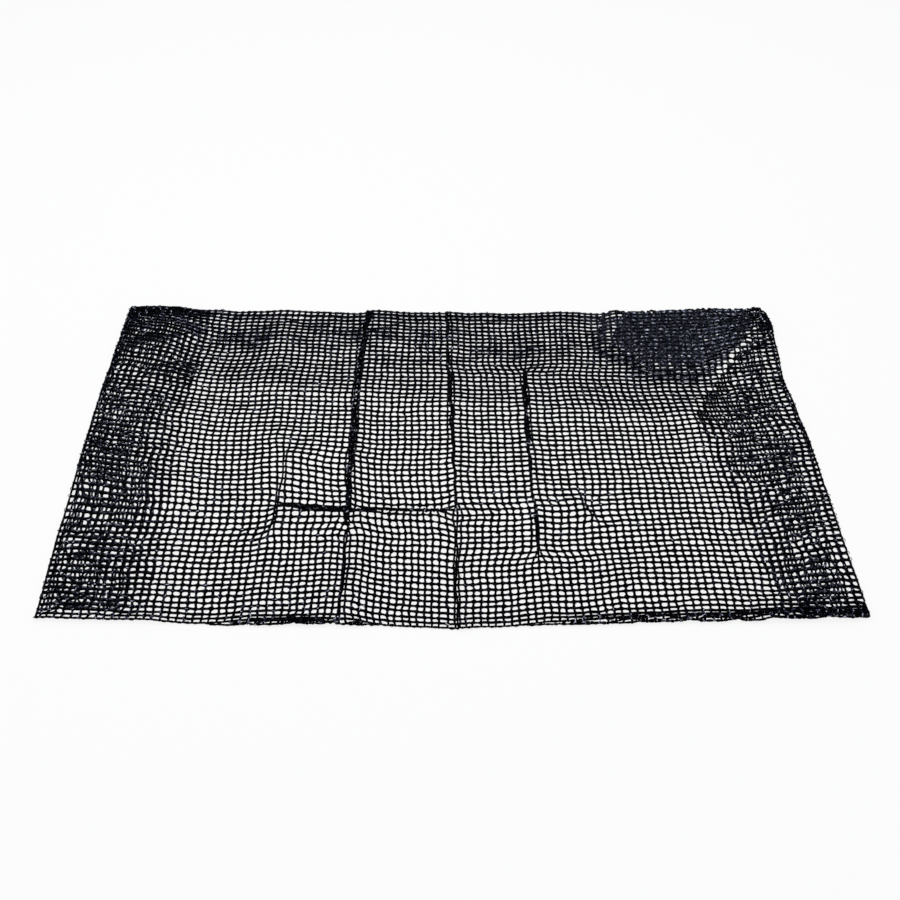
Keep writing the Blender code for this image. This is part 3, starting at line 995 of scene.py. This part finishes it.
def net_panel(name, net, first, last, material, random):
    """One panel of the net: the joints of columns first to last - 1 that the cut leaves, the
    cords down each of them, and the cords across to the next column. A cord that runs on in
    the next panel is closed by a cap."""
    panel = Panel()
    chosen = net.kept[first:last]
    own = np.full(net.joints[first:last].shape[:-1], -1)
    own[chosen] = panel.add_points(
        net.joints[first:last][chosen], net.under[first:last][chosen]
    )
    stations = np.array((JOINT_HALF, *RING_STATIONS, PITCH - JOINT_HALF))
    top, under = own[chosen][..., TOP], own[chosen][..., ::-1, UNDER]
    panel.add_faces(top, np.array(TOP_KNIT))
    panel.add_faces(under, np.array(UNDER_KNIT))

    there = chosen[:, :-1] & chosen[:, 1:]
    rings = panel.add_points(net.down[first:last][there], net.down_sheen[first:last][there])
    start, end = port(own, NORTH)[:, :-1][there], port(own, SOUTH)[:, 1:][there]
    run = np.nonzero(there)[1][:, None] * PITCH + stations
    panel.add_tube(np.concatenate((start[:, None], rings, end[:, None]), axis=1), run, False)

    ended = min(last, COLUMNS - 1)
    there = net.kept[first:ended] & net.kept[first + 1 : ended + 1]
    rings = panel.add_points(
        net.across[first:ended][there], net.across_sheen[first:ended][there]
    )
    meets = np.full((ended - first, ROWS, RING), -1)
    meets[: last - first - 1] = port(own, WEST)[1 : ended - first + 1]
    if last < COLUMNS:
        seam = port(net.joints[last : last + 1], WEST)[0][there[-1]]
        meets[-1][there[-1]] = panel.add_points(seam, net.under[last][there[-1]][:, 0, :1])
        panel.add_faces(meets[-1][there[-1]])
    start, end = port(own, EAST)[: ended - first][there], meets[there]
    run = (np.nonzero(there)[0][:, None] + first) * PITCH + stations
    panel.add_tube(np.concatenate((start[:, None], rings, end[:, None]), axis=1), run, True)

    if first > 0:
        joined = net.kept[first - 1] & net.kept[first]
        panel.add_faces(port(own, WEST)[0][joined][:, ::-1])
    add_cut_ends(panel, net, own, chosen, first, last, random)
    add_slack_loops(panel, net, first, last)
    return panel.build(name, material)


# ---------------------------------------------------------------- materials

class Value:
    """A socket in a node tree that can be written in sums."""

    def __init__(self, tree, socket):
        self.tree, self.socket = tree, socket

    def node(self, kind, settings=(), **inputs):
        """Adds a node: its settings first, then the values or links of its sockets."""
        made = self.tree.nodes.new(kind)
        for key, value in dict(settings).items():
            setattr(made, key, value)
        for key, value in inputs.items():
            self.feed(made.inputs[key.replace("_", " ")], value)
        return made

    def feed(self, socket, value):
        """Links a value to a socket, or sets the socket to a plain number or colour."""
        if isinstance(value, Value):
            self.tree.links.new(value.socket, socket)
        else:
            socket.default_value = value

    def math(self, operation, *values):
        """The value of a Math node on these values."""
        made = self.node("ShaderNodeMath", {"operation": operation})
        for socket, value in zip(made.inputs, values):
            self.feed(socket, value)
        return Value(self.tree, made.outputs[0])

    def __add__(self, other):
        return self.math("ADD", self, other)

    __radd__ = __add__

    def __mul__(self, other):
        return self.math("MULTIPLY", self, other)

    __rmul__ = __mul__

    def __sub__(self, other):
        return self.math("SUBTRACT", self, other)

    def __rsub__(self, other):
        return self.math("SUBTRACT", other, self)

    def sine(self):
        return self.math("SINE", self)

    def blend(self, first, second):
        """The first colour where this value is 0, the second where it is 1."""
        made = self.node("ShaderNodeMix", {"data_type": "RGBA"})
        self.feed(made.inputs[0], self)
        for socket, colour in ((made.inputs[6], first), (made.inputs[7], second)):
            self.feed(socket, colour if isinstance(colour, Value) else (*colour, 1.0))
        return Value(self.tree, made.outputs[2])


def knitted_cord():
    """Black polyethylene yarn: chain stitches run along each cord as slanting ribs, and the
    black is a little greyer and duller in patches, as handled net is. Small lighter specks
    are painted glints, and net that is turned under gets a pale blue-grey painted sheen."""
    material = bpy.data.materials.new("knitted_cord")
    material.use_nodes = True
    tree = material.node_tree
    shader = tree.nodes["Principled BSDF"]
    start = Value(tree, None)
    coords = start.node("ShaderNodeTexCoord")
    along = start.node("ShaderNodeUVMap", {"uv_map": "knit"})
    split = start.node("ShaderNodeSeparateXYZ", Vector=Value(tree, along.outputs[0]))
    around, run = Value(tree, split.outputs[0]), Value(tree, split.outputs[1])
    body = Value(tree, coords.outputs["Object"])
    patches = start.node("ShaderNodeTexNoise", Vector=body, Scale=23.0, Detail=3.0)
    fibres = start.node("ShaderNodeTexNoise", Vector=body, Scale=900.0, Detail=2.0)
    patch, fibre = Value(tree, patches.outputs[0]), Value(tree, fibres.outputs[0])
    # Painted glints: where this noise is high the yarn turns lighter, painted highlights in
    # place of reflections, as the specular level is kept near 0.
    glint_noise = start.node("ShaderNodeTexNoise", Vector=body, Scale=250.0, Detail=2.0)
    glint = (Value(tree, glint_noise.outputs[0]) - GLINT_FROM) * GLINT_SHARP
    rib = (run * (2.0 * math.pi / STITCH) + around * (4.0 * math.pi)).sine()
    # Patches and fibres are the yarn's own tone; the rib term also makes each stitch's crest a
    # little greyer than its groove, a small painted highlight.
    grey = (patch * 0.5 + fibre * 0.35 + rib * 0.10 - 0.25) * 2.2
    under = start.node("ShaderNodeAttribute", {"attribute_name": "under_sheen"})
    top_side = glint.blend(grey.blend(BLACK, GREYER), GLINT_COLOUR)
    # Painted sheen: net turned under, and the loops inside the net, get a pale blue-grey in
    # place of black, with more painted glints.
    sheen_colour = (glint + SHEEN_GLINTS_MORE).blend(SHEEN_DARK, SHEEN_PALE)
    colour = Value(tree, under.outputs["Fac"]).blend(top_side, sheen_colour)
    start.feed(shader.inputs["Base Color"], colour)
    start.feed(shader.inputs["Roughness"], 0.45 + patch * 0.25 + fibre * 0.12)
    shader.inputs["Specular IOR Level"].default_value = 0.01
    relief = rib * 0.7 + fibre * 0.5
    bump = start.node("ShaderNodeBump", Height=relief, Strength=0.5, Distance=BUMP_DEPTH)
    tree.links.new(bump.outputs[0], shader.inputs["Normal"])
    return material


def pale_floor():
    """Near-white floor that glows a little, so that it stays white between the cords."""
    material = bpy.data.materials.new("pale_floor")
    material.use_nodes = True
    shader = material.node_tree.nodes["Principled BSDF"]
    for name, value in (
        ("Base Color", (0.12, 0.12, 0.12, 1.0)),
        ("Roughness", 0.9),
        ("Specular IOR Level", 0.0),
        ("Emission Color", (1.0, 1.0, 1.0, 1.0)),
        ("Emission Strength", 0.83),
    ):
        shader.inputs[name].default_value = value
    return material


# ---------------------------------------------------------------- scene

def overhead_light():
    """A broad soft light above and behind the net, turned towards its middle."""
    light = bpy.data.lights.new("overhead", "AREA")
    light.shape = "SQUARE"
    light.size = 2.2
    light.energy = 30.0
    lamp = bpy.data.objects.new("overhead", light)
    place = np.array((-0.3, 0.5, 2.2))
    lamp.location = place
    tilt = math.atan2(math.hypot(place[0], place[1]), place[2])
    lamp.rotation_euler = (tilt, 0.0, math.atan2(-place[1], -place[0]) - math.pi / 2)
    bpy.context.scene.collection.objects.link(lamp)


def studio():
    """The camera, a soft light overhead, a pale surround and the floor."""
    scene = bpy.context.scene
    camera = bpy.data.cameras.new("camera")
    camera.lens = 48.4
    camera.sensor_width = 36.0
    eye = bpy.data.objects.new("camera", camera)
    eye.location = (0.0024, -1.2662, 1.156)
    eye.rotation_euler = (math.radians(90.0 - 42.6), 0.0, 0.0)
    scene.collection.objects.link(eye)
    scene.camera = eye
    overhead_light()
    world = bpy.data.worlds.new("surround")
    world.use_nodes = True
    world.node_tree.nodes["Background"].inputs[0].default_value = (0.93, 0.94, 0.96, 1.0)
    world.node_tree.nodes["Background"].inputs[1].default_value = 0.90
    scene.world = world
    scene.view_settings.view_transform = "Standard"
    mesh = bpy.data.meshes.new("floor")
    mesh.from_pydata([(-8, -8, 0), (8, -8, 0), (8, 8, 0), (-8, 8, 0)], [], [(0, 1, 2, 3)])
    mesh.materials.append(pale_floor())
    floor = bpy.data.objects.new("floor", mesh)
    scene.collection.objects.link(floor)


def main():
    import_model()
    studio()
    random = np.random.default_rng(SEED)
    net = Net(random)
    material = knitted_cord()
    # panels of about as many joints each, side by side
    shared = np.concatenate(([0], np.cumsum(net.kept.sum(axis=1)))) / net.kept.sum()
    bounds = np.searchsorted(shared, np.linspace(0.0, 1.0, PANELS + 1))
    bounds[-1] = COLUMNS
    for number, (first, last) in enumerate(zip(bounds[:-1].tolist(), bounds[1:].tolist())):
        piece = net_panel(f"net_panel_{number + 1}", net, first, last, material, random)
        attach(piece, "root")
        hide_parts("net")


main()
